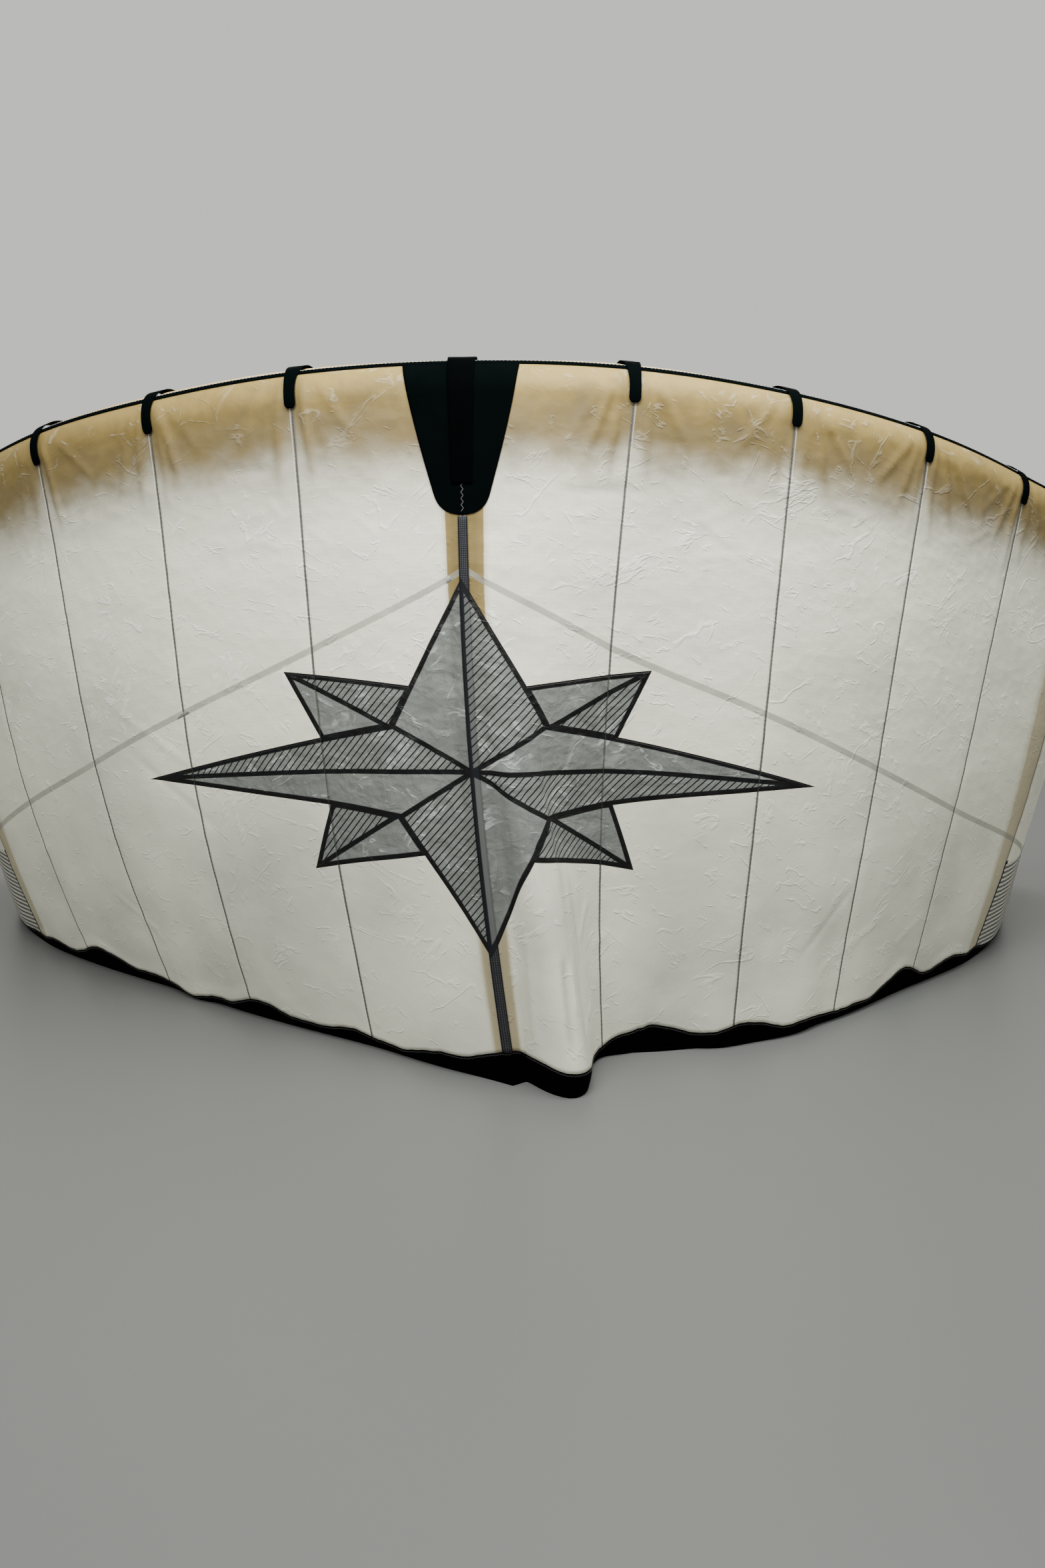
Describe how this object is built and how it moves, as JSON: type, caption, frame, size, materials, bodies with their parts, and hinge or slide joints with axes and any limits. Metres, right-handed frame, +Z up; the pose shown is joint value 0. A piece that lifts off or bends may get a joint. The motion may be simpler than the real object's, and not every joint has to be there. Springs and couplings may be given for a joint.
{
  "type": "kitesurfing kite",
  "caption": "Inflatable kitesurfing kite standing on its trailing edge, with a curved leading-edge tube, struts behind a pale panelled canopy and black reinforcements.",
  "frame": {"origin": "centre of the kite's footprint, on the floor that its trailing edge stands on", "axes": "+Z up, +X along the span to the right as seen on the outer skin, -Y out of the middle of the outer skin"},
  "size_m": [4.9563, 2.6327, 2.0989],
  "materials": {
    "canopy_cloth": "thin pale ripstop cloth, slightly sheer, with a fine grid and many small creases",
    "tube_cloth": "tan woven polyester of the inflated tubes",
    "black_cloth": "dull black reinforcing cloth",
    "seam_tape": "dark grey woven tape",
    "load_tape": "grey sheer tape on the inner face"
  },
  "bodies": {
    "root": {"panel_left_1": "canopy_cloth", "edge_tube_left_1": "tube_cloth", "panel_left_2": "canopy_cloth", "edge_tube_left_2": "tube_cloth", "panel_left_3": "canopy_cloth", "edge_tube_left_3": "tube_cloth", "panel_left_4": "canopy_cloth", "edge_tube_left_4": "tube_cloth", "panel_left_5": "canopy_cloth", "edge_tube_left_5": "tube_cloth", "panel_left_6": "canopy_cloth", "edge_tube_left_6": "tube_cloth", "panel_left_7": "canopy_cloth", "edge_tube_left_7": "tube_cloth", "panel_left_8": "canopy_cloth", "edge_tube_left_8": "tube_cloth", "panel_right_1": "canopy_cloth", "edge_tube_right_1": "tube_cloth", "panel_right_2": "canopy_cloth", "edge_tube_right_2": "tube_cloth", "panel_right_3": "canopy_cloth", "edge_tube_right_3": "tube_cloth", "panel_right_4": "canopy_cloth", "edge_tube_right_4": "tube_cloth", "panel_right_5": "canopy_cloth", "edge_tube_right_5": "tube_cloth", "panel_right_6": "canopy_cloth", "edge_tube_right_6": "tube_cloth", "panel_right_7": "canopy_cloth", "edge_tube_right_7": "tube_cloth", "panel_right_8": "canopy_cloth", "edge_tube_right_8": "tube_cloth", "strut_left": "tube_cloth", "strut_centre": "tube_cloth", "strut_right": "tube_cloth", "edge_tape_left": "black_cloth", "hem_band_left": "black_cloth", "load_tape_left": "load_tape", "seam_tab_left_1": "black_cloth", "seam_tab_left_2": "black_cloth", "seam_tab_left_3": "black_cloth", "seam_tab_left_4": "black_cloth", "seam_tab_left_5": "black_cloth", "seam_tab_left_6": "black_cloth", "edge_tape_right": "black_cloth", "hem_band_right": "black_cloth", "load_tape_right": "load_tape", "seam_tab_right_1": "black_cloth", "seam_tab_right_2": "black_cloth", "seam_tab_right_3": "black_cloth", "seam_tab_right_4": "black_cloth", "seam_tab_right_5": "black_cloth", "seam_tab_right_6": "black_cloth", "centre_patch": "black_cloth", "centre_cover": "black_cloth", "centre_seam_tape": "seam_tape"}
  },
  "joints": []
}
